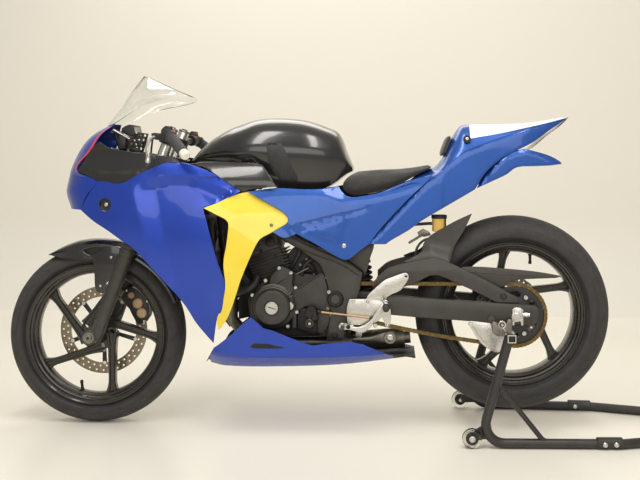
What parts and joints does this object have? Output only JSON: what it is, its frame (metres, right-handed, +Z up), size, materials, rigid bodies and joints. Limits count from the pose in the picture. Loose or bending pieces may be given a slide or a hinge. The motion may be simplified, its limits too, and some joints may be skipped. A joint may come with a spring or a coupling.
{
  "type": "sport bike on a rear paddock stand",
  "caption": "Faired single-seat race-prepared sport bike with clip-on bars, held upright by a tubular rear paddock stand.",
  "frame": {"origin": "on the floor under the middle of the bounding box of the bike and its stand", "axes": "+X forward, +Y to the rider's left, +Z up"},
  "size_m": [2.3458, 0.6572, 1.146],
  "materials": {
    "frame_dark": "satin",
    "wheel_dark": "satin",
    "tyre_rubber": "matt",
    "cowl_blue": "metallic gloss",
    "vent_yellow": "gloss",
    "gloss_black": "gloss",
    "tail_white": "gloss",
    "seat_black": "matt",
    "screen_clear": "clear",
    "engine_dark": "satin",
    "chain_gold": "satin",
    "steel": "brushed",
    "silver": "satin",
    "black_metal": "satin",
    "grip_grey": "matt",
    "black_plastic": "matt",
    "reservoir_gold": "satin",
    "stand_dark": "satin",
    "roller_clear": "satin"
  },
  "bodies": {
    "chassis": {"main_frame": "frame_dark", "subframe": "frame_dark", "engine": "engine_dark", "engine_covers": "engine_dark", "drive_chain": "chain_gold", "exhaust": "steel", "radiator": "silver", "fuel_tank": "gloss_black", "side_cowl_left": "cowl_blue", "side_cowl_right": "cowl_blue", "vent_panels": "vent_yellow", "seat_side_panels": "cowl_blue", "upper_side_panels": "gloss_black", "nose_cowl": "cowl_blue", "windshield": "screen_clear", "tank_side_covers": "gloss_black", "seat_pads": "seat_black", "tail_cowl": "tail_white", "belly_pan": "cowl_blue", "instrument": "black_plastic", "cowl_stay": "frame_dark", "swingarm": "frame_dark", "rear_hugger": "frame_dark", "chain_guards": "silver", "rear_shock": "black_metal", "rearsets": "silver", "rear_caliper": "black_metal", "brake_reservoir": "reservoir_gold", "paddock_stand": "stand_dark", "rear_axle": "frame_dark"},
    "steering": {"fork_legs": "frame_dark", "yokes": "frame_dark", "clip_on_bars": "black_metal", "hand_grips": "grip_grey", "hand_levers": "silver", "front_fender": "gloss_black", "front_axle": "frame_dark", "front_caliper": "black_metal"},
    "front_wheel": {"front_tyre": "tyre_rubber", "front_rim": "wheel_dark", "front_disc": "chain_gold"},
    "rear_wheel": {"rear_tyre": "tyre_rubber", "rear_rim": "wheel_dark", "rear_disc": "steel", "rear_sprocket": "steel"},
    "stand_roller_left": {"stand_roller_left": "roller_clear"},
    "stand_roller_right": {"stand_roller_right": "roller_clear"}
  },
  "joints": [
    {"name": "steering", "type": "hinge", "parent": "chassis", "child": "steering", "pos_m": [0.84429, 0, 0.28], "axis": [-0.342, 0, 0.9397], "range_deg": [-30, 30]},
    {"name": "front_wheel_spin", "type": "hinge", "parent": "steering", "child": "front_wheel", "pos_m": [0.88, 0, 0.293], "axis": [0, 1, 0], "continuous": true},
    {"name": "rear_wheel_spin", "type": "hinge", "parent": "chassis", "child": "rear_wheel", "pos_m": [-0.49, 0, 0.381], "axis": [0, 1, 0], "continuous": true},
    {"name": "roller_left_spin", "type": "hinge", "parent": "chassis", "child": "stand_roller_left", "pos_m": [-0.343, 0.264, 0.03], "axis": [0, 1, 0], "continuous": true},
    {"name": "roller_right_spin", "type": "hinge", "parent": "chassis", "child": "stand_roller_right", "pos_m": [-0.343, -0.264, 0.03], "axis": [0, 1, 0], "continuous": true}
  ]
}
